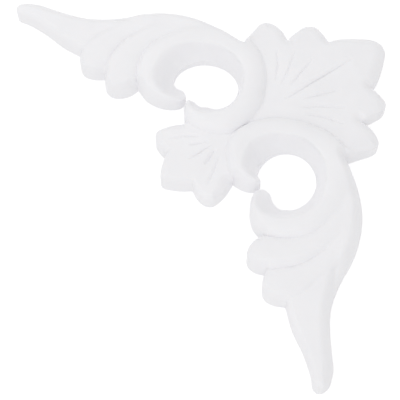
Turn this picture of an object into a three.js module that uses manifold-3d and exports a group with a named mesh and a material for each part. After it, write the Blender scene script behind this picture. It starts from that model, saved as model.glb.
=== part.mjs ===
// Corner trim: a moulded leaf-and-scroll ornament that is glued into the corner of a door, panel or frame.
// It lies on its flat back at z = 0, with the outer corner of the ornament towards +X +Y.
// The two arms run along -X and -Y, and each is the other's mirror image across the line x = y.
import * as THREE from "three";
import { mergeVertices } from "three/addons/utils/BufferGeometryUtils.js";
import Module from "manifold-3d";

// Driving dimensions, in millimetres.
const SIDE = 100; // side of the square that the ornament fits
const WALL = 3.2; // upright side wall, from the back up to where the edge starts to round over
const ROUNDING = 2.2; // how far in from the side wall the surface has rounded over to its full height
const BASE = 4; // level that the moulded forms rise from, above the back
const RELIEF = 3.8; // how far the highest form, the scroll's rim, rises above that level
const CREASE = 0.35; // softness of the line where two forms meet
const EYE_WALL = 2; // thin edge of the scroll's eye, at the foot of its cove
const VEIN_DEPTH = 0.8; // depth of the deepest vein cut into a leaf
const VEIN_WIDTH = 0.8; // from the middle of a vein out to its edge

// Fineness of the mesh.
const FINEST = 0.8; // side of the smallest facets
const MARGIN = 1.5; // relief carried past the outline on every side
const FLATNESS = 0.11; // how far a facet may lie from the true surface
const OUTLINE_STEP = 1.3; // length of a straight stretch on a curved outline

// The ornament's free forms are drawn in hundredths of its side, with the origin in the middle of the square.
const share = SIDE / 100;
const toPoint = ([x, y]) => new THREE.Vector3(x * share, y * share, 0);
const swap = ([x, y]) => [y, x];
// The scroll's open eye is an ellipse. Its edge is part of the outline between two angles, in degrees.
const EYE = { at: [3.5, 28.1], half: [8.5, 7.35], from: 180, to: -98 };
// The cove is the hollow slope from the scroll's rim down to the eye's edge. It starts over the tip of the first
// lobe, goes round the eye, and fades out at an angle past the hooked end. Foot is the height of its line over the
// thin wall, and a curve above 1 makes the slope hollow. Each list has its values spread evenly along that line.
// Behind is the width on the other side of the line, where the hooked end stands.
const COVE = {
  tip: [[-1.8, 21.2], [-0.4, 22.8], [-1.5, 24.4], [-3.7, 25.7]],
  to: -110,
  foot: [0, 0, 0, 0, 0, 0, 0, 0, 0, 0, 0, 0, 0, 0.8, 3.6],
  width: [4.5, 4.5, 4.5, 4.4, 4.1, 3.2, 2, 1.6, 1.3, 1.2, 1.3, 2, 3.6, 4.3, 3.6],
  behind: 1.2,
  curve: 1.4,
};

const smooth = (points) => new THREE.CatmullRomCurve3(points.map(toPoint), false, "centripetal");

// A smooth curve through a few points, as a list of [x, y] a step apart.
function spaced(points, step) {
  const curve = smooth(points);
  const count = Math.max(2, Math.round(curve.getLength() / step));
  return curve.getSpacedPoints(count).map(({ x, y }) => [x, y]);
}

// The same curve with as many steps between any two of its points, so that a list of values can follow them.
const STEPS = 6;
function drawn(points) {
  return smooth(points).getPoints(STEPS * (points.length - 1)).map(({ x, y }) => [x, y]);
}

// The eye's edge, up to an angle in degrees, as points that a smooth curve is drawn through.
function eyeEdge(to) {
  const [first, last] = [EYE.from, to].map(THREE.MathUtils.degToRad);
  return new THREE.EllipseCurve(...EYE.at, ...EYE.half, first, last, true).getPoints(12).map((p) => [p.x, p.y]);
}

// Half of the outline, from the outer corner along the top, round one arm and its eye to the inner corner.
// A stretch is one smooth curve, and two stretches meet in a notch or a tip.
const halfOutline = [
  [[47.1, 47.1], [44.9, 48.4], [40.5, 48.3], [36.5, 47.5], [33.3, 46.1]],
  [[33.3, 46.1], [31.4, 48.2], [29.6, 49.7], [28.4, 50], [26.3, 49.3], [24.2, 47.7], [22.8, 45]],
  [[22.8, 45], [21.2, 47.3], [18.8, 49], [16.7, 49.3], [15, 48.3], [13.1, 45.8], [11.2, 42.3]],
  [[11.2, 42.3], [5, 45], [0, 46.7], [-5, 47.6], [-11, 47.6], [-16, 46.5], [-21, 44.7], [-26, 43.4],
    [-31, 42.9], [-36, 43.4], [-41, 44.4], [-45, 45.2], [-48.2, 44.8], [-49.8, 43.4], [-50, 42.2]],
  [[-50, 42.2], [-49.3, 41.1], [-46.3, 40], [-41, 37.4], [-35.8, 34.2], [-30.3, 32.2]],
  [[-30.3, 32.2], [-30.2, 28.6], [-28.8, 26.6], [-26.2, 26], [-22.8, 26.5]],
  [[-22.8, 26.5], [-22.4, 23.4], [-20.8, 21.7], [-18.4, 21.3], [-15.6, 22.4], [-13.6, 24.5]],
  [[-13.6, 24.5], [-11, 21.7], [-7.8, 20.3], [-4.6, 20.2], [-1.6, 21.2], [-0.3, 22.9], [-1.4, 24.5],
    [-3.6, 25.7], [-4.8, 27], [EYE.at[0] - EYE.half[0], EYE.at[1]]],
  eyeEdge(EYE.to),
  [[2.3, 20.8], [1.9, 21.8], [0.8, 22.3], [-0.5, 21.4], [-0.8, 19], [-0.3, 16.9], [0.9, 15.1]],
  [[0.9, 15.1], [-1.8, 14.4], [-4.7, 13], [-6.2, 11], [-5.9, 8.4], [-4.3, 6.4], [-2.5, 5.2]],
  [[-2.5, 5.2], [-3, 2.6], [-3.1, -0.4], [-2.8, -2.2], [-2.5, -2.5]],
];
const innerCorner = halfOutline.at(-1).at(-1);

// Moulded forms of one half. A form lies along a curve, where it is highest, and slopes down to the base over its
// reach on the left and right. Rise 1 is the top of the relief. A bulge of 0.5 makes a slope round and full, and
// one above 1 makes its foot hollow. A list gives one value for each point of the curve. A form may start under
// another one and run out past the outline, which cuts it off.
const halfForms = [
  { // rim of the scroll, round the eye from the hooked end to the first lobe
    along: [[0.9, 23.4], [0.9, 19.4], [2.6, 16.4], [6, 14.9], [10, 15.4], [13, 18.2], [14.6, 22.8],
      [14.9, 27.4], [14, 32], [11, 36.2], [5, 38.7], [-1.5, 38.8], [-6.4, 37], [-9.9, 33.8],
      [-11.4, 29.9], [-11, 26], [-8.6, 23.5], [-5, 22.8], [-2.6, 22.9]],
    rise: [0.42, 0.62, 0.88, 0.97, 1, 1, 1, 1, 1, 1, 0.97, 0.95, 0.92, 0.92, 0.9, 0.82, 0.7, 0.5, 0.2],
    left: { reach: [3, 3.5, 6, 6, 6, 5, 4, 4, 4, 4, 4.2, 4.5, 5, 5, 5, 5, 4.5, 4, 3.4], bulge: 0.35 },
    right: { reach: [2.6, 2.6, 2.6, 2.8, 3.6, 3.8, 4.6, 4.4, 4.6, 5.5, 8, 6, 3.8, 3.8, 3.5, 3.5, 3.8, 3.8,
      3.6], bulge: 0.5 },
  },
  { // stem, along the outside of the arm
    along: [[13, 38], [8, 41.4], [1, 43.3], [-6, 44], [-12, 44], [-17, 43.8], [-21, 43.9], [-26, 43.8]],
    rise: [0.42, 0.66, 0.76, 0.76, 0.73, 0.66, 0.36, 0.2],
    left: { reach: [4, 5.2, 5.6, 4, 4, 4, 1.7, 1.2], bulge: 0.5 },
    right: { reach: [4, 5.6, 6.4, 6.4, 6, 5, 4, 2.4], bulge: 0.6 },
  },
  { // second lobe
    along: [[-2, 43.6], [-6, 42.9], [-10, 41.4], [-13.4, 39.2], [-16, 36.8], [-18.1, 34.2], [-19.5, 31],
      [-20.3, 27.6], [-20.2, 24], [-19.2, 20]],
    rise: [0.74, 0.74, 0.74, 0.76, 0.78, 0.8, 0.8, 0.76, 0.7, 0.5],
    left: { reach: [4, 3.6, 3.6, 3.8, 4.7, 5.1, 5.6, 6.2, 6.2, 5], bulge: 0.35 },
    right: { reach: [6, 5.5, 4, 2.6, 2.4, 2.5, 2.6, 2.7, 2.8, 3], bulge: 0.5 },
  },
  { // third lobe
    along: [[-11, 43.6], [-15, 42.6], [-18.4, 41], [-21.2, 39.1], [-23.6, 37], [-25.9, 34.6],
      [-27.4, 31.6], [-28, 28.6], [-27.4, 24.5]],
    rise: [0.7, 0.68, 0.65, 0.62, 0.62, 0.62, 0.6, 0.55, 0.4],
    left: { reach: [4, 3.6, 3.7, 4, 4.7, 5.5, 6, 5.8, 5.4], bulge: 0.35 },
    right: { reach: [5, 4.5, 2.8, 2.4, 2.2, 2.6, 3, 3, 3], bulge: 0.6 },
  },
  { // tail leaf
    along: [[-17, 41.2], [-20.5, 40.4], [-23, 40.1], [-25, 40], [-27.5, 40], [-30.5, 40.1], [-34.6, 40.6],
      [-40.2, 41.3], [-46, 42.3], [-50.5, 43.2]],
    rise: [0.6, 0.56, 0.53, 0.51, 0.49, 0.47, 0.46, 0.43, 0.38, 0.22],
    left: { reach: [2, 1.8, 1.8, 2.9, 4.8, 8.6, 12, 9, 6, 4], bulge: 0.32 },
    right: { reach: [2.6, 2.6, 3, 3.4, 3.6, 3.8, 3.8, 3.6, 3.4, 3], bulge: 0.7 },
  },
  { // leaf at the outer corner
    along: [[17, 17], [30, 30], [50, 50]],
    rise: [0.34, 0.56, 0.52],
    left: { reach: [3, 11, 20], bulge: 0.5 },
    right: { reach: [3, 11, 20], bulge: 0.5 },
  },
  { // leaf beside it
    along: [[19.5, 22], [24.6, 35], [28.9, 53]],
    rise: [0.32, 0.4, 0.3],
    left: { reach: [3, 7, 11], bulge: 0.5 },
    right: { reach: [3, 7, 11], bulge: 0.5 },
  },
  { // leaf beside the arm
    along: [[18.5, 24], [18.4, 36], [16.2, 52]],
    rise: [0.32, 0.38, 0.3],
    left: { reach: [3, 8, 12], bulge: 0.5 },
    right: { reach: [3, 7, 11], bulge: 0.5 },
  },
  { // leaf at the inner corner
    along: [[13, 13], [6, 6], [-6, -6]],
    rise: [0.32, 0.45, 0.35],
    left: { reach: [3, 7, 13], bulge: 0.5 },
    right: { reach: [3, 7, 13], bulge: 0.5 },
  },
  { // small leaf beside it
    along: [[11.5, 12.6], [4, 11.2], [-9, 9.6]],
    rise: [0.32, 0.4, 0.3],
    left: { reach: [3, 6, 10], bulge: 0.5 },
    right: { reach: [3, 6, 10], bulge: 0.5 },
  },
];

// Veins cut into the leaves of one half, from root to tip. Deep is a share of the greatest depth.
const halfVeins = [
  { along: [[24.5, 24.5], [32, 32], [39, 39]], deep: 1 },
  { along: [[25.2, 28.9], [27.4, 33.2], [29.8, 37.7]], deep: 0.8 },
  { along: [[22.9, 29], [24.2, 34.4], [24.9, 39.8]], deep: 0.8 },
  { along: [[21.2, 30], [21.2, 35], [20.2, 40]], deep: 0.8 },
  { along: [[7.8, 7.8], [3.2, 3.2]], deep: 1 },
  { along: [[6.8, 9.2], [2.5, 7.5]], deep: 1 },
  { along: [[4.3, 10.3], [0.8, 10], [-2.8, 9.1]], deep: 0.7 },
];

// The value at a place between 0 and 1 along a list.
function between(values, place) {
  const at = place * (values.length - 1);
  const low = Math.min(Math.floor(at), values.length - 2);
  return THREE.MathUtils.lerp(values[low], values[low + 1], at - low);
}

// Nearest place on a curve: how far away it is, how far along, and whether it passes on the left.
function nearest(curve, x, y) {
  let best = Infinity;
  let place = 0;
  let left = false;
  for (let i = 0; i < curve.length - 1; i += 1) {
    const [ax, ay] = curve[i];
    const dx = curve[i + 1][0] - ax;
    const dy = curve[i + 1][1] - ay;
    const along = ((x - ax) * dx + (y - ay) * dy) / (dx * dx + dy * dy);
    const held = THREE.MathUtils.clamp(along, 0, 1);
    const away = Math.hypot(x - ax - held * dx, y - ay - held * dy);
    if (away < best) {
      best = away;
      place = (i + held) / (curve.length - 1);
      left = dx * (y - ay) - dy * (x - ax) > 0;
    }
  }
  return { away: best, place, left };
}

// The larger of two heights, with the crease between them softened.
function joined(a, b) {
  const overlap = Math.max(CREASE - Math.abs(a - b), 0);
  return Math.max(a, b) + (overlap * overlap) / (4 * CREASE);
}

const forms = halfForms.map((form) => ({ ...form, curve: drawn(form.along) }));
const veins = halfVeins.map((vein) => ({ ...vein, curve: drawn(vein.along) }));
const coveCurve = spaced([...COVE.tip, ...eyeEdge(COVE.to)], share);

// Height of one half's forms over a point.
function formHeight(x, y) {
  let height = BASE;
  for (const { curve, rise, left, right } of forms) {
    const at = nearest(curve, x, y);
    const slope = at.left ? left : right;
    const out = at.away / (between(slope.reach, at.place) * share);
    if (out < 1) {
      const top = between(rise, at.place) * RELIEF;
      height = joined(height, BASE + top * (1 - out * out) ** slope.bulge);
    }
  }
  return height;
}

// Height of one half's cove over a point. It rises from the eye's edge, and nothing stands above it.
function coveHeight(x, y) {
  const at = nearest(coveCurve, x, y);
  const foot = EYE_WALL + between(COVE.foot, at.place);
  const climb = at.away / ((at.left ? between(COVE.width, at.place) : COVE.behind) * share);
  return foot + (BASE + RELIEF - foot) * climb ** COVE.curve;
}

// Depth of one half's veins under a point. A vein runs out at both of its ends.
function veinDepth(x, y) {
  let deepest = 0;
  for (const { curve, deep } of veins) {
    const at = nearest(curve, x, y);
    const out = at.away / VEIN_WIDTH;
    if (out < 1) deepest = Math.max(deepest, deep * VEIN_DEPTH * (1 - out) * Math.sqrt(Math.sin(Math.PI * at.place)));
  }
  return deepest;
}

// The whole outline, going round once.
const half = halfOutline.flatMap((stretch) => spaced(stretch, OUTLINE_STEP * share).slice(0, -1));
half.push(innerCorner.map((value) => value * share));
const outline = [...half, ...half.slice(1, -1).reverse().map(swap)];
const loop = [...outline, outline[0]];

function inside(x, y) {
  let odd = false;
  for (let i = 0; i < outline.length; i += 1) {
    const [ax, ay] = loop[i];
    const [bx, by] = loop[i + 1];
    if (ay > y !== by > y && x < ax + ((bx - ax) * (y - ay)) / (by - ay)) odd = !odd;
  }
  return odd;
}

// Height of the finished surface: the forms less the veins and the coves, rounded over towards the side wall.
function surface(x, y) {
  const edge = nearest(loop, x, y).away * (inside(x, y) ? 1 : -1);
  if (edge < -MARGIN) return { height: WALL, edge };
  const carved = joined(formHeight(x, y), formHeight(y, x)) - Math.max(veinDepth(x, y), veinDepth(y, x));
  const full = -joined(-carved, -Math.min(coveHeight(x, y), coveHeight(y, x)));
  const inward = THREE.MathUtils.clamp(edge / ROUNDING, -MARGIN / ROUNDING, 1);
  const rounded = WALL + (full - WALL) * Math.sin((Math.PI / 2) * inward);
  return { height: full > WALL ? rounded : full, edge };
}

// The relief over the whole square as right triangles, cut in two wherever one would miss the true surface.
function relief() {
  const span = SIDE + 2 * MARGIN;
  const halvings = Math.round(Math.log2(span / FINEST));
  const cells = 2 ** halvings;
  const cell = span / cells;
  const heights = [];
  const edges = [];
  for (let i = 0; i <= cells; i += 1) {
    for (let j = 0; j <= cells; j += 1) {
      const { height, edge } = surface(i * cell - span / 2, j * cell - span / 2);
      heights.push(height);
      edges.push(edge);
    }
  }
  const index = ([i, j]) => i * (cells + 1) + j;
  const middle = ([ai, aj], [bi, bj]) => [(ai + bi) / 2, (aj + bj) / 2];
  // Each level halves the triangles of the level above across their longest side.
  const levels = [[
    [[0, 0], [cells, cells], [0, cells]],
    [[cells, cells], [0, 0], [cells, 0]],
  ]];
  for (let depth = 1; depth < 2 * halvings; depth += 1) {
    levels.push(levels[depth - 1].flatMap(([a, b, c]) => [[c, a, middle(a, b)], [b, c, middle(a, b)]]));
  }
  const misses = new Float32Array(heights.length);
  for (const level of [...levels].reverse()) {
    for (const [a, b, c] of level) {
      const m = index(middle(a, b));
      const reached = edges[m] > -cell;
      const own = reached ? Math.abs(heights[m] - (heights[index(a)] + heights[index(b)]) / 2) : 0;
      const finer = level === levels.at(-1) ? 0 : Math.max(misses[index(middle(a, c))], misses[index(middle(c, b))]);
      misses[m] = Math.max(misses[m], own, finer);
    }
  }
  const triangles = [];
  const cut = (a, b, c) => {
    const m = middle(a, b);
    const finest = !Number.isInteger(m[0]) || !Number.isInteger(m[1]);
    if (finest || misses[index(m)] <= FLATNESS) {
      triangles.push([a, b, c]);
    } else {
      cut(c, a, m);
      cut(b, c, m);
    }
  };
  levels[0].forEach(([a, b, c]) => cut(a, b, c));
  const place = ([i, j]) => [i * cell - span / 2, j * cell - span / 2, heights[index([i, j])]];
  return triangles.map((triangle) => triangle.map(place));
}

// A closed block under a surface given as triangles, down to a level below the back.
function blockUnder(triangles, bottom) {
  const positions = [];
  const edges = new Map();
  for (const [a, b, c] of triangles) {
    positions.push(...a, ...b, ...c);
    positions.push(a[0], a[1], bottom, c[0], c[1], bottom, b[0], b[1], bottom);
    for (const [p, q] of [[a, b], [b, c], [c, a]]) {
      const back = `${q} ${p}`;
      if (edges.has(back)) edges.delete(back);
      else edges.set(`${p} ${q}`, [p, q]);
    }
  }
  for (const [p, q] of edges.values()) {
    positions.push(...p, p[0], p[1], bottom, ...q);
    positions.push(...q, p[0], p[1], bottom, q[0], q[1], bottom);
  }
  return new THREE.BufferGeometry().setAttribute("position", new THREE.Float32BufferAttribute(positions, 3));
}

const wasm = await Module();
wasm.setup();

function solidOf(geometry) {
  geometry.deleteAttribute("normal");
  geometry.deleteAttribute("uv");
  const merged = mergeVertices(geometry, 1e-4);
  return new wasm.Manifold(new wasm.Mesh({
    numProp: 3,
    vertProperties: merged.attributes.position.array,
    triVerts: new Uint32Array(merged.index.array),
  }));
}

function geometryOf(solid) {
  const { vertProperties, triVerts } = solid.getMesh();
  const geometry = new THREE.BufferGeometry();
  geometry.setAttribute("position", new THREE.BufferAttribute(vertProperties, 3));
  geometry.setIndex(new THREE.BufferAttribute(triVerts, 1));
  return geometry.toNonIndexed();
}

const UNDERCUT = 3; // how far the block below the relief runs on under the back, before it is cut off there
const prism = new THREE.ExtrudeGeometry(
  new THREE.Shape(outline.map(([x, y]) => new THREE.Vector2(x, y))),
  { depth: 2 * (BASE + RELIEF), bevelEnabled: false },
);
const trim = solidOf(prism).intersect(solidOf(blockUnder(relief(), -UNDERCUT)));
const geometry = geometryOf(trim);
geometry.computeVertexNormals();

const plastic = new THREE.MeshStandardMaterial({ color: 0xf1f2f4, roughness: 0.55, metalness: 0 });
const cornerTrim = new THREE.Mesh(geometry, plastic);
cornerTrim.name = "corner_trim";

const part = new THREE.Group();
part.add(cornerTrim);
export default part;
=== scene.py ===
# %% [markdown]
# # A moulded corner trim
# This ornament is glued into the corner of a door or a frame. The real one is a single piece of white plastic
# from a carved mould: a flat back, upright edges, and a relief of leaves, scrolls and lobes on top.
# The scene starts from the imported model, which fixes the size and the place. Everything is in metres.

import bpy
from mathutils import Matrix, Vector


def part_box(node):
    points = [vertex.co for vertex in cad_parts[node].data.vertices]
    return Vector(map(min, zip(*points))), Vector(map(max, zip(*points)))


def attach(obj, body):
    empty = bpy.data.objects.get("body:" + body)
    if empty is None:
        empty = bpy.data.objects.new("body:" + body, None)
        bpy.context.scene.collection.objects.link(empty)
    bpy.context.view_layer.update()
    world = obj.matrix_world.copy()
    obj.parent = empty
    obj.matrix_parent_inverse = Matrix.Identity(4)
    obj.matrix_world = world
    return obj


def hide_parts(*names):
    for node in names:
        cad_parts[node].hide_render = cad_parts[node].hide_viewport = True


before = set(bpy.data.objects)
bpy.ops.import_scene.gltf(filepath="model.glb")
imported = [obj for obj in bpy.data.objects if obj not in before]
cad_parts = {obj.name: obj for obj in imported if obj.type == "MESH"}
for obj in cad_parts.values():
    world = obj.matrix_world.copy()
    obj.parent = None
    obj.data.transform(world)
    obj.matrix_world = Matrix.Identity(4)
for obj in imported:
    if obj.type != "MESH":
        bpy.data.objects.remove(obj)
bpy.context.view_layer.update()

# %% The modules that the later cells use
import math

import bpy
import numpy as np
from mathutils import Matrix, Vector

# %% [markdown]
# ## The camera
# The photograph looks down on the ornament from below its inner corner. Its view was found from the two arms,
# which mirror each other: the one camera that shows both at the same size is the photograph's.

# %% Add the camera
MM = 0.001
AZIMUTH, ELEVATION, ROLL = (math.radians(angle) for angle in (9.9, 61.6, -0.4))
DISTANCE = 315.6 * MM
LENS = 114.5  # focal length in millimetres on a sensor 36 mm wide
AIM = Vector((7.45, -4.54, 0)) * MM
NEAR_CLIP = 10 * MM


def add_camera():
    """A camera at the photograph's viewing angle, aimed just beside the middle of the ornament."""
    back = Vector((
        math.sin(AZIMUTH) * math.cos(ELEVATION),
        -math.cos(AZIMUTH) * math.cos(ELEVATION),
        math.sin(ELEVATION),
    ))
    level = Vector((math.cos(AZIMUTH), math.sin(AZIMUTH), 0))
    axes = Matrix((level, back.cross(level), back)).transposed()
    turn = axes @ Matrix.Rotation(ROLL, 3, "Z")
    bpy.ops.object.camera_add(location=AIM + DISTANCE * back, rotation=turn.to_euler())
    camera = bpy.context.object
    camera.name = "photo_camera"
    camera.data.lens = LENS
    camera.data.clip_start = NEAR_CLIP
    bpy.context.scene.camera = camera
    return camera


camera = add_camera()
print("camera at", [round(place / MM) for place in camera.location], "millimetres")

# %% [markdown]
# ## The drawing
# A carver first draws the ornament's outline and the lines that its forms follow. Each line here is a smooth
# curve through a few points, in hundredths of the ornament's side. Only one half is drawn, with its arm along
# -X, because the other half is its mirror image across the line x = y.

# %% Sizes of the moulding
LOW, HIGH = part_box("corner_trim")
SIDE = HIGH.x - LOW.x
SHARE = SIDE / 100  # one hundredth of the side
WALL = 4 * MM  # upright side, from the back up to where the edge starts to round over
ROUNDING = 1.1 * MM  # how far in from the side the surface has its full height
OUTER_WALL, OUTER_ROUNDING = 3.2 * MM, 3.2 * MM  # the same where the side faces the outer corner
EDGE_FULLNESS = 0.8  # 1 rounds the edge over as an arc does, and less makes it fuller
BASE = 4 * MM  # level that the forms rise from
RELIEF = HIGH.z - BASE  # how far the highest form rises above it
CREASE = 0.45 * MM  # softness of the line where two forms meet
RIM_CREASE = 0.9 * MM  # the same where a cove meets the forms

# %% Smooth curves through a few points
OUTLINE_STEP = 0.32  # length of a straight stretch of the outline, in hundredths of the side
STEPS = 12  # straight stretches between two points of a form's line


def spaced(places, step):
    """Places a step apart along a line of straight stretches."""
    along = np.concatenate([[0], np.cumsum(np.linalg.norm(np.diff(places, axis=0), axis=1))])
    wanted = np.linspace(0, along[-1], max(3, round(along[-1] / step) + 1))
    return np.stack([np.interp(wanted, along, places[:, 0]), np.interp(wanted, along, places[:, 1])], axis=1)


def drawn(points, steps=STEPS):
    """A smooth curve through the points, with as many steps between any two of them."""
    points = np.array(points, float)
    points = np.vstack([2 * points[0] - points[1], points, 2 * points[-1] - points[-2]])
    curve = []
    for before, start, end, after in zip(points, points[1:], points[2:], points[3:]):
        reach = [math.sqrt(np.linalg.norm(b - a)) for a, b in ((before, start), (start, end), (end, after))]
        around = (end - before) / (reach[0] + reach[1]), (after - start) / (reach[1] + reach[2])
        leave = reach[1] * ((start - before) / reach[0] - around[0] + (end - start) / reach[1])
        arrive = reach[1] * ((end - start) / reach[1] - around[1] + (after - end) / reach[2])
        t = np.linspace(0, 1, steps, endpoint=False)[:, None]
        curve.append(
            start + t * leave + t**2 * (3 * (end - start) - 2 * leave - arrive)
            + t**3 * (2 * (start - end) + leave + arrive)
        )
    return np.vstack([*curve, points[-2:-1]])


# %% The outline
EYE_AT, EYE_HALF = (3.5, 27.9), (8.5, 7.5)  # the scroll's open eye, an ellipse
EYE_FROM, EYE_TO = 180, -90  # angles in degrees between which its edge is part of the outline
EYE_POINTS = 13  # places that a stretch of its edge is drawn through


def eye_edge(start, end):
    """Points on the eye's edge from one angle to another, in degrees."""
    angles = np.radians(np.linspace(start, end, EYE_POINTS))
    return np.array(EYE_AT) + np.array(EYE_HALF) * np.stack([np.cos(angles), np.sin(angles)], axis=1)


HALF_OUTLINE = [
    [(47.1, 47.1), (44.9, 48.2), (40.5, 48), (36.5, 47.2), (33.2, 45.8)],
    [(33.2, 45.8), (31.4, 48.1), (29.6, 49.7), (28.4, 50), (26.5, 49.2), (24.7, 47.2), (22.6, 44.5)],
    [(22.6, 44.5), (20.8, 47.1), (18.4, 48.9), (16.4, 49.3), (14.9, 48.1), (13.3, 45.3), (11.2, 41.7)],
    [(11.2, 41.7), (5, 44.8), (0, 46.6), (-5, 47.6), (-11, 47.6), (-16, 46.5), (-21, 44.7), (-26, 43.4),
     (-31, 42.9), (-36, 43.4), (-41, 44.4), (-45, 45.2), (-48.2, 44.8), (-49.8, 43.4), (-50, 42.2)],
    [(-50, 42.2), (-49.3, 41.2), (-46.3, 40.3), (-41, 37.8), (-35.8, 34.6), (-30, 32.2)],
    [(-30, 32.2), (-29.8, 28.7), (-28.5, 26.7), (-26, 26), (-22.5, 26.5)],
    [(-22.5, 26.5), (-22.1, 23.5), (-20.7, 21.7), (-18.4, 21.3), (-15.6, 22.4), (-13.6, 24.5)],
    [(-13.6, 24.5), (-11, 21.7), (-7.8, 20.3), (-4.6, 20.1), (-2, 20.9), (-0.8, 22.6), (-1.7, 24.3),
     (-3.7, 25.6), (-4.8, 27), (EYE_AT[0] - EYE_HALF[0], EYE_AT[1])],
    eye_edge(EYE_FROM, EYE_TO),
    [(3.5, 20.4), (2.4, 20.9), (1.5, 21.6), (0.6, 21.6), (-0.3, 20.7), (-0.6, 19), (-0.2, 16.9), (0.9, 14.8)],
    [(0.9, 14.8), (-1.8, 13.9), (-4.5, 12.4), (-6.2, 10.5), (-5.9, 8.3), (-4.3, 6.4), (-2.5, 5.2)],
    [(-2.5, 5.2), (-3, 2.6), (-3.1, -0.4), (-2.8, -2.2), (-2.5, -2.5)],
]


def whole_outline():
    """The outline round both halves, as places in metres."""
    stretches = [spaced(drawn(stretch), OUTLINE_STEP)[:-1] for stretch in HALF_OUTLINE]
    half = np.vstack([*stretches, HALF_OUTLINE[-1][-1:]])
    return SHARE * np.vstack([half, half[-2:0:-1, ::-1]])


OUTLINE = whole_outline()
print("the outline has", len(OUTLINE), "places")

# %% The sides that face the outer corner
# The photograph looks past these. Its silhouette fits best where they are lower and rounder than those in front.
BESIDE = 4  # how many places on each side of one tell which way the side faces there
FACING = (-0.2, 0.5)  # cosines of the angle to the outer corner between which the edge changes its form


def outer_share():
    """For each place on the outline: 1 where the side faces the outer corner, and 0 where it faces away."""
    ahead = np.roll(OUTLINE, -BESIDE, axis=0) - np.roll(OUTLINE, BESIDE, axis=0)
    outward = np.stack([ahead[:, 1], -ahead[:, 0]], axis=1) / np.linalg.norm(ahead, axis=1)[:, None]
    return np.interp(outward.sum(1) / math.sqrt(2), FACING, (0, 1))


print("faces the outer corner:", round(100 * outer_share().mean()), "% of the outline")

# %% [markdown]
# ## The blank
# A relief can be made from a plane pushed up by a picture, or carved as one would carve wood. This one is sawn
# and carved. A ring of edges is laid on the outline, filled and pulled up, which gives a board of the right
# outline. A fine grid then planes its top off with a Boolean, so that the top has small even faces to carve,
# and its rim still follows the outline exactly.

# %% Helpers for edit mode
def select_only(piece):
    """Makes one object the selected and the active one."""
    bpy.ops.object.select_all(action="DESELECT")
    piece.select_set(True)
    bpy.context.view_layer.objects.active = piece


def open_edges(piece):
    """How many edges don't lie between exactly two faces."""
    uses = {}
    for face in piece.data.polygons:
        for key in face.edge_keys:
            uses[key] = uses.get(key, 0) + 1
    return sum(1 for count in uses.values() if count != 2)


# %% The board, sawn to the outline
def add_board():
    """A flat board of the outline, twice as thick as the upright side is high."""
    bpy.ops.object.select_all(action="DESELECT")
    bpy.ops.mesh.primitive_circle_add(vertices=len(OUTLINE), radius=SIDE / 2, location=(0, 0, 0))
    board = bpy.context.object
    board.name = "corner_moulding"
    for vertex, (x, y) in zip(board.data.vertices, OUTLINE):
        vertex.co = (x, y, 0)
    bpy.ops.object.mode_set(mode="EDIT")
    bpy.ops.mesh.select_all(action="SELECT")
    bpy.ops.mesh.edge_face_add()
    bpy.ops.mesh.extrude_region_move(TRANSFORM_OT_translate={"value": (0, 0, 2 * WALL)})
    bpy.ops.mesh.select_all(action="SELECT")
    bpy.ops.mesh.normals_make_consistent(inside=False)
    bpy.ops.object.mode_set(mode="OBJECT")
    return board


moulding = add_board()
print("board:", len(moulding.data.polygons), "faces,", open_edges(moulding), "open edges")

# %% The grid that planes the top
CELL = 0.24 * MM  # side of one face of the grid
GRID_SIDE = SIDE + 4 * MM  # past the ornament by 2 mm all round


def add_plane_block():
    """A block with a fine grid on top, level with the top of the upright side."""
    bpy.ops.object.select_all(action="DESELECT")
    cells = round(GRID_SIDE / CELL)
    bpy.ops.mesh.primitive_grid_add(
        x_subdivisions=cells, y_subdivisions=cells, size=GRID_SIDE, location=(0, 0, WALL)
    )
    block = bpy.context.object
    bpy.ops.object.transform_apply(location=True, rotation=True, scale=True)
    bpy.ops.object.mode_set(mode="EDIT")
    bpy.ops.mesh.select_all(action="SELECT")
    bpy.ops.mesh.region_to_loop()
    bpy.ops.mesh.extrude_edges_move(TRANSFORM_OT_translate={"value": (0, 0, -2 * WALL)})
    bpy.ops.mesh.edge_face_add()
    bpy.ops.mesh.select_all(action="SELECT")
    bpy.ops.mesh.normals_make_consistent(inside=False)
    bpy.ops.object.mode_set(mode="OBJECT")
    return block


def plane_top(board, block):
    """Keeps what the board and the block share, then takes the block away."""
    select_only(board)
    cut = board.modifiers.new("plane", "BOOLEAN")
    cut.operation = "INTERSECT"
    cut.solver = "MANIFOLD"
    cut.object = block
    bpy.ops.object.modifier_apply(modifier=cut.name)
    bpy.data.objects.remove(block)


block = add_plane_block()
print("block:", len(block.data.polygons), "faces,", open_edges(block), "open edges")
plane_top(moulding, block)
print("planed board:", len(moulding.data.polygons), "faces,", open_edges(moulding), "open edges")

# %% [markdown]
# ## The forms
# A form is a ridge. Its top follows a drawn line, and it slopes down to the base on the left and the right.
# The highest form wins at each place, and where two are nearly level the line between them is a little soft.
# A carver works the same way: each leaf is laid over the one below, and a groove is left where they meet.

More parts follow.
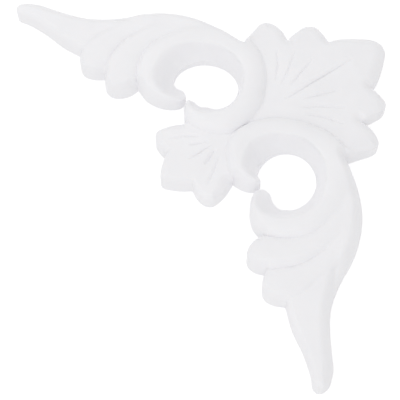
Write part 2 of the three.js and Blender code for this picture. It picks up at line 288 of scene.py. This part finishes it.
# %% The forms of one half
# Rise 1 is the top of the relief. Rise and reach have one value for each point of the line, or a few that are
# spread over it. A bulge of 0.5 makes a slope round and full, and one above 1 makes its foot hollow.
HALF_FORMS = {
    "rim of the scroll": dict(
        along=[(0.9, 23.4), (0.9, 19.4), (2.6, 16.4), (6, 14.9), (10, 15.4), (13, 18.2), (14.6, 22.8),
               (14.9, 27.4), (14, 32), (11, 36.2), (5, 38.7), (-1.5, 38.8), (-6.4, 37), (-9.9, 33.8),
               (-11.4, 29.9), (-11, 26), (-8.6, 23.5), (-5, 22.8), (-2.6, 22.9)],
        rise=[0.42, 0.62, 0.88, 0.97, 1, 1, 1, 1, 1, 1, 0.97, 0.95, 0.92, 0.92, 0.9, 0.82, 0.7, 0.5, 0.2],
        left=([3, 3.5, 6, 6, 6, 5, 4, 4, 4, 4, 4.2, 4.5, 5, 5, 5, 5, 4.5, 4, 3.4], 0.35),
        right=([2.6, 2.6, 2.6, 2.8, 3.6, 3.8, 4.6, 4.4, 4.6, 5.5, 8, 6, 3.7, 3.5, 3.2, 3.2, 3.6, 3.8, 3.6],
               0.44),
    ),
    "stem along the arm": dict(
        along=[(13, 38), (8, 41.4), (1, 43.3), (-6, 44), (-12, 44), (-17, 43.8), (-21, 43.9), (-26, 43.8)],
        rise=[0.42, 0.66, 0.76, 0.76, 0.73, 0.66, 0.36, 0.2],
        left=([4, 5, 5, 4.4, 4.4, 4.2, 2.2, 1.6], 0.9),
        right=([4, 5.6, 6.4, 6.4, 6, 5, 4, 2.4], 0.6),
    ),
    "second lobe": dict(
        along=[(-2, 43.6), (-6, 42.9), (-10, 41.4), (-13.4, 39.2), (-16, 36.8), (-18.1, 34.2), (-19.5, 31),
               (-20.3, 27.6), (-20.2, 24), (-19.2, 20)],
        rise=[0.74, 0.74, 0.74, 0.76, 0.78, 0.8, 0.8, 0.76, 0.7, 0.5],
        left=([4, 3.6, 3.6, 3.8, 4.7, 5.1, 5.6, 6.2, 6.2, 5], 0.3),
        right=([6, 5.5, 4, 2.5, 2.3, 2.3, 2.4, 2.5, 2.6, 3], 0.44),
    ),
    "third lobe": dict(
        along=[(-11, 43.6), (-15, 42.6), (-18.4, 41), (-21.2, 39.1), (-23.6, 37), (-25.9, 34.6),
               (-27.4, 31.6), (-28, 28.6), (-27.4, 24.5)],
        rise=[0.7, 0.68, 0.65, 0.62, 0.62, 0.62, 0.6, 0.55, 0.4],
        left=([4, 3.6, 3.7, 4, 4.7, 5.5, 6, 5.8, 5.4], 0.3),
        right=([5, 4.5, 2.8, 2.4, 2.2, 2.4, 2.8, 3, 3], 0.45),
    ),
    "tail leaf": dict(
        along=[(-17, 41.2), (-20.5, 40.4), (-23, 40.1), (-25, 40), (-27.5, 40), (-30.5, 40.1), (-34.6, 40.6),
               (-40.2, 41.3), (-46, 42.3), (-50.5, 43.2)],
        rise=[0.6, 0.56, 0.53, 0.51, 0.49, 0.47, 0.46, 0.43, 0.38, 0.22],
        left=([2, 1.8, 1.8, 3.4, 6, 12, 16, 14, 10, 6], 0.32),
        right=([2.6, 2.6, 3, 3.4, 3.6, 3.8, 3.8, 3.6, 3.4, 3], 0.7),
    ),
    "leaf at the outer corner": dict(
        along=[(17, 17), (30, 30), (50, 50)],
        rise=[0.34, 0.48, 0.56, 0.42, 0.1],
        left=([3, 8, 12, 15, 18], 0.6),
        right=([3, 8, 12, 15, 18], 0.6),
    ),
    "leaf beside it": dict(
        along=[(19.5, 22), (24.6, 35), (28.4, 51)],
        rise=[0.32, 0.38, 0.4, 0.28, 0],
        left=([3, 7, 11], 0.5),
        right=([3, 7, 11], 0.5),
    ),
    "leaf beside the arm": dict(
        along=[(18.5, 24), (18.4, 36), (16.4, 50.5)],
        rise=[0.32, 0.36, 0.38, 0.26, 0],
        left=([3, 8, 12], 0.5),
        right=([3, 7, 11], 0.5),
    ),
    "leaf at the inner corner": dict(
        along=[(13, 13), (6, 6), (-6, -6)],
        rise=[0.32, 0.45, 0.35],
        left=([3, 7, 13], 0.5),
        right=([3, 7, 13], 0.5),
    ),
    "small leaf beside it": dict(
        along=[(11.5, 12.6), (4, 11.2), (-9, 9.6)],
        rise=[0.32, 0.4, 0.3],
        left=([3, 6, 10], 0.5),
        right=([3, 6, 10], 0.5),
    ),
}

# %% The cove round the eye
# The scroll is scooped out from its rim down to a thin edge. The cove starts on the tip of the first lobe, goes
# round the eye and fades out before the hooked end. Floor and width have one value for each point of its line.
COVE_TIP = [(-4.6, 20.2), (-2, 21), (-0.9, 22.6), (-1.8, 24.2), (-3.7, 25.6), (-4.8, 27)]
COVE_TO = -110  # angle in degrees
COVE_FLOOR = [  # height in millimetres
    5.4, 4.8, 3.9, 3, 2.3, 2, 1.8, 1.7, 1.8, 2, 2, 2, 2, 1.8, 1.5, 1.3, 1.8, 3.6, 6.6,
]
COVE_WIDTH = [4.5, 6, 7, 7, 6.4, 5.4, 5, 4.4, 3.6, 2.4, 1.9, 1.4, 1.2, 1.2, 1.6, 2.8, 4, 4, 3]
COVE_BEHIND = 1.2  # the width on the other side of the line, where the hooked end stands
COVE_CURVE = 1.4  # 1 is a straight slope, and more makes it hollow
COVE_SPAN = 0.3  # share of the line that can reach one place, so that the lobe's tip spares the hooked end


def cove_line():
    """The line that one half's cove rises from."""
    return np.vstack([COVE_TIP, eye_edge(EYE_FROM, COVE_TO)])


# %% The veins of one half
# Each is drawn from its root to its tip, with its depth and half its width in millimetres.
VEIN_FLARE = 1.3  # 1 gives a vein straight sides, and more makes them steeper towards the middle
HALF_VEINS = [
    dict(along=[(24.5, 24.5), (32, 32), (40, 40)], deep=0.55, wide=0.6),
    dict(along=[(25.2, 28.9), (27.4, 33.2), (29.8, 38)], deep=0.45, wide=0.5),
    dict(along=[(22.9, 29), (24.2, 34.4), (24.9, 40)], deep=0.45, wide=0.5),
    dict(along=[(21.2, 30), (21.2, 35), (20.2, 40)], deep=0.45, wide=0.5),
    dict(along=[(8.4, 8.4), (3.2, 3.2)], deep=0.4, wide=0.5),
    dict(along=[(7.4, 9.4), (2.6, 7.5)], deep=0.6, wide=0.65),
    dict(along=[(5.2, 10.6), (0.8, 9.9), (-2.8, 8.8)], deep=0.5, wide=0.6),
]

# %% Measuring to a line
CHUNK = 4000  # places measured at a time


def nearest(curve, places):
    """Each place's distance to the curve, the share of the curve up to there, and if it lies on the left."""
    starts, steps = curve[:-1], np.diff(curve, axis=0)
    away, along, left = [], [], []
    for first in range(0, len(places), CHUNK):
        offset = places[first:first + CHUNK, None] - starts
        part = np.clip((offset * steps).sum(2) / (steps**2).sum(1), 0, 1)
        gap = offset - part[..., None] * steps
        distance = np.hypot(gap[..., 0], gap[..., 1])
        best = distance.argmin(1)
        row = np.arange(len(best))
        away.append(distance[row, best])
        along.append((best + part[row, best]) / len(steps))
        left.append(steps[best, 0] * offset[row, best, 1] > steps[best, 1] * offset[row, best, 0])
    return np.concatenate(away), np.concatenate(along), np.concatenate(left)


def near_box(curve, places, limit):
    """Which places lie within a limit of the curve's box, so that only they are measured."""
    return np.all((places > curve.min(0) - limit) & (places < curve.max(0) + limit), axis=1)


def between(values, along):
    """The value at each place between 0 and 1 along a list."""
    return np.interp(along * (len(values) - 1), np.arange(len(values)), values)


def joined(a, b, crease=CREASE):
    """The larger of two values, with the line between them softened."""
    overlap = np.maximum(crease - np.abs(a - b), 0)
    return np.maximum(a, b) + overlap**2 / (4 * crease)


# %% Height of the forms and depth of the veins
def form_height(places):
    """Height of one half's forms over each place."""
    height = np.full(len(places), BASE)
    for form in HALF_FORMS.values():
        curve = SHARE * drawn(form["along"])
        limit = SHARE * max(form["left"][0] + form["right"][0])
        near = np.flatnonzero(near_box(curve, places, limit))
        away, along, left = nearest(curve, places[near])
        reach = SHARE * np.where(left, between(form["left"][0], along), between(form["right"][0], along))
        bulge = np.where(left, form["left"][1], form["right"][1])
        out = away / reach
        slope = np.where(out < 1, 1 - np.minimum(out, 1) ** 2, 0) ** bulge
        top = RELIEF * between(form["rise"], along)
        height[near] = np.where(out < 1, joined(height[near], BASE + top * slope), height[near])
    return height


def cove_height(places):
    """Height of one half's cove over each place: the lowest slope that rises from any part of its line."""
    curve = SHARE * drawn(cove_line())
    height = np.full(len(places), 2 * HIGH.z)  # above every form, so that it cuts nothing where there is no cove
    near = np.flatnonzero(near_box(curve, places, SHARE * max(COVE_WIDTH)))
    _, middle, left = nearest(curve, places[near])
    for part in range(len(curve) - 1):
        away, along, _ = nearest(curve[part:part + 2], places[near])
        along = (part + along) / (len(curve) - 1)
        floor = MM * between(COVE_FLOOR, along)
        climb = away / (SHARE * np.where(left, between(COVE_WIDTH, along), COVE_BEHIND))
        slope = floor + (HIGH.z - floor) * climb**COVE_CURVE
        reached = np.abs(along - middle) < COVE_SPAN
        height[near] = np.where(reached, np.minimum(height[near], slope), height[near])
    return height


def vein_depth(places):
    """Depth of one half's veins under each place. A vein runs out at both ends."""
    depth = np.zeros(len(places))
    for vein in HALF_VEINS:
        curve = SHARE * drawn(vein["along"])
        near = np.flatnonzero(near_box(curve, places, vein["wide"] * MM))
        away, along, _ = nearest(curve, places[near])
        out = np.minimum(away / (vein["wide"] * MM), 1)
        groove = vein["deep"] * MM * (1 - out) ** VEIN_FLARE * np.sqrt(np.sin(np.pi * along))
        depth[near] = np.maximum(depth[near], groove)
    return depth


# %% Carve the top
LEVEL_SLACK = 0.01 * MM  # points this near the level of the planed top belong to it


def carve(piece):
    """Raises the top to the forms, less the veins and the coves, and rounds it over towards the upright side."""
    count = len(piece.data.vertices)
    coordinates = np.empty(3 * count)
    piece.data.vertices.foreach_get("co", coordinates)
    coordinates = coordinates.reshape(count, 3)
    top = np.flatnonzero(coordinates[:, 2] > WALL - LEVEL_SLACK)
    places = coordinates[top, :2]
    loop = np.vstack([OUTLINE, OUTLINE[:1]])
    edge, along, _ = nearest(loop, places)
    shares = outer_share()
    outer = between(np.append(shares, shares[0]), along)
    wall = WALL + (OUTER_WALL - WALL) * outer
    rounding = ROUNDING + (OUTER_ROUNDING - ROUNDING) * outer
    inward = np.sin(np.pi / 2 * np.clip(edge / rounding, 0, 1)) ** EDGE_FULLNESS
    forms = joined(form_height(places), form_height(places[:, ::-1]))
    veins = np.maximum(vein_depth(places), vein_depth(places[:, ::-1]))
    cove = np.minimum(cove_height(places), cove_height(places[:, ::-1]))
    full = -joined(veins - forms, -cove, RIM_CREASE)
    coordinates[top, 2] = np.where(full > wall, wall + (full - wall) * inward, full)
    piece.data.vertices.foreach_set("co", coordinates.ravel())
    piece.data.update()
    return len(top)


print("carved points:", carve(moulding))
print("highest point in millimetres:", round(max(v.co.z for v in moulding.data.vertices) / MM, 2))

# %% [markdown]
# ## Smooth skin
# A moulded surface has no facets. Every face is shaded smooth, except across the sharp line round the back.

# %% Merge slivers and shade smooth
SLIVER = 0.02 * MM  # points closer than this become one
SHARP = math.radians(50)  # edges with a bigger angle stay sharp

select_only(moulding)
bpy.ops.object.mode_set(mode="EDIT")
bpy.ops.mesh.select_all(action="SELECT")
bpy.ops.mesh.remove_doubles(threshold=SLIVER)
bpy.ops.mesh.select_all(action="SELECT")
bpy.ops.mesh.normals_make_consistent(inside=False)
bpy.ops.object.mode_set(mode="OBJECT")
bpy.ops.object.shade_smooth_by_angle(angle=SHARP)
moulding.data.calc_loop_triangles()
print("moulding:", len(moulding.data.loop_triangles), "triangles,", open_edges(moulding), "open edges")

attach(moulding, "root")
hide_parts("corner_trim")

# %% [markdown]
# ## The plastic
# The real finish is white plastic straight from the mould: matte, very slightly violet, with a faint grain
# and a slow unevenness where it shrank. A colour alone would look like paper, so colour and roughness vary a
# little, and a fine bump breaks up the highlights. A little light goes into the plastic and softens the veins.

# %% White moulded plastic
DARKER, LIGHTER = (0.91, 0.905, 0.927, 1), (0.94, 0.934, 0.956, 1)
DARKER_AT, LIGHTER_AT = 0.3, 0.7  # values of the clouds pattern that get the two whites
SMOOTHEST, ROUGHEST = 0.42, 0.56
CLOUDS_SCALE, GRAIN_SCALE = 90, 2200  # patches of about 10 mm and grains of about 0.5 mm
GRAIN_STRENGTH, GRAIN_DEPTH = 0.25, 0.03 * MM
REFRACTION = 1.49
GLOW, GLOW_DEPTH = 0.15, 0.6 * MM  # share of the light that goes into the plastic, and how deep
GLOW_COLOUR = (1.0, 0.95, 0.9)


def plastic_material():
    """White plastic from the mould. Patterns lie on object coordinates, in metres."""
    material = bpy.data.materials.new("moulded_white_plastic")
    material.use_nodes = True
    nodes, links = material.node_tree.nodes, material.node_tree.links
    surface = nodes["Principled BSDF"]
    surface.inputs["IOR"].default_value = REFRACTION
    surface.inputs["Subsurface Weight"].default_value = GLOW
    surface.inputs["Subsurface Radius"].default_value = GLOW_COLOUR
    surface.inputs["Subsurface Scale"].default_value = GLOW_DEPTH
    place = nodes.new("ShaderNodeTexCoord")

    clouds = nodes.new("ShaderNodeTexNoise")
    clouds.inputs["Scale"].default_value = CLOUDS_SCALE
    clouds.inputs["Detail"].default_value = 3
    links.new(place.outputs["Object"], clouds.inputs["Vector"])
    tint = nodes.new("ShaderNodeValToRGB")
    tint.color_ramp.elements[0].position = DARKER_AT
    tint.color_ramp.elements[0].color = DARKER
    tint.color_ramp.elements[1].position = LIGHTER_AT
    tint.color_ramp.elements[1].color = LIGHTER
    links.new(clouds.outputs["Fac"], tint.inputs["Fac"])
    links.new(tint.outputs["Color"], surface.inputs["Base Color"])

    sheen = nodes.new("ShaderNodeMapRange")
    sheen.inputs["To Min"].default_value = SMOOTHEST
    sheen.inputs["To Max"].default_value = ROUGHEST
    links.new(clouds.outputs["Fac"], sheen.inputs["Value"])
    links.new(sheen.outputs["Result"], surface.inputs["Roughness"])

    grain = nodes.new("ShaderNodeTexNoise")
    grain.inputs["Scale"].default_value = GRAIN_SCALE
    grain.inputs["Detail"].default_value = 2
    links.new(place.outputs["Object"], grain.inputs["Vector"])
    bump = nodes.new("ShaderNodeBump")
    bump.inputs["Strength"].default_value = GRAIN_STRENGTH
    bump.inputs["Distance"].default_value = GRAIN_DEPTH
    links.new(grain.outputs["Fac"], bump.inputs["Height"])
    links.new(bump.outputs["Normal"], surface.inputs["Normal"])
    return material


moulding.data.materials.clear()
moulding.data.materials.append(plastic_material())
print("material:", moulding.data.materials[0].name)

# %% [markdown]
# ## Floor and light
# The photograph shows white plastic on pure white, in soft light from the upper left. A white floor and a
# soft lamp give that, with a larger one far in front and a bright even world so that no side is dark.

# %% A plain pale floor
FLOOR_SIDE = 6
FLOOR_GAP = 0.05 * MM  # between the floor and the flat back, so that the two don't flicker
FLOOR_WHITE = (0.97, 0.97, 0.97, 1)
FLOOR_GLOW = 0.25  # lifts the floor to pure white


def add_floor():
    """A wide white floor under the flat back."""
    bpy.ops.object.select_all(action="DESELECT")
    bpy.ops.mesh.primitive_plane_add(size=FLOOR_SIDE, location=(0, 0, -FLOOR_GAP))
    floor = bpy.context.object
    floor.name = "floor"
    material = bpy.data.materials.new("white_floor")
    material.use_nodes = True
    surface = material.node_tree.nodes["Principled BSDF"]
    surface.inputs["Base Color"].default_value = FLOOR_WHITE
    surface.inputs["Roughness"].default_value = 0.9
    surface.inputs["Emission Color"].default_value = (1, 1, 1, 1)
    surface.inputs["Emission Strength"].default_value = FLOOR_GLOW
    floor.data.materials.append(material)
    floor.visible_diffuse = False  # it lends the ornament no light, which keeps the sides grey
    return floor


floor = add_floor()
print("floor:", round(floor.dimensions.x), "metres a side")

# %% Soft light from the upper left
KEY = dict(place=(-0.12, 0.13, 0.24), size=0.3, power=0.08)
FILL = dict(place=(-0.12, -0.6, 0.5), size=0.8, power=0.9)
WORLD_STRENGTH = 0.8


def add_lamp(name, place, size, power):
    """A square soft lamp that faces the ornament."""
    bpy.ops.object.light_add(type="AREA", location=place)
    lamp = bpy.context.object
    lamp.name = name
    lamp.data.size = size
    lamp.data.energy = power
    lamp.rotation_euler = (-Vector(place)).to_track_quat("-Z", "Y").to_euler()
    return lamp


def add_world():
    """An even white world all round."""
    world = bpy.data.worlds.new("studio")
    world.use_nodes = True
    background = world.node_tree.nodes["Background"]
    background.inputs["Color"].default_value = (1, 1, 1, 1)
    background.inputs["Strength"].default_value = WORLD_STRENGTH
    bpy.context.scene.world = world
    return world


lamps = [add_lamp("key_light", **KEY), add_lamp("fill_light", **FILL)]
print("lit by", " and ".join(lamp.name for lamp in lamps), "in the world", add_world().name)
bpy.context.scene.view_settings.view_transform = "Standard"
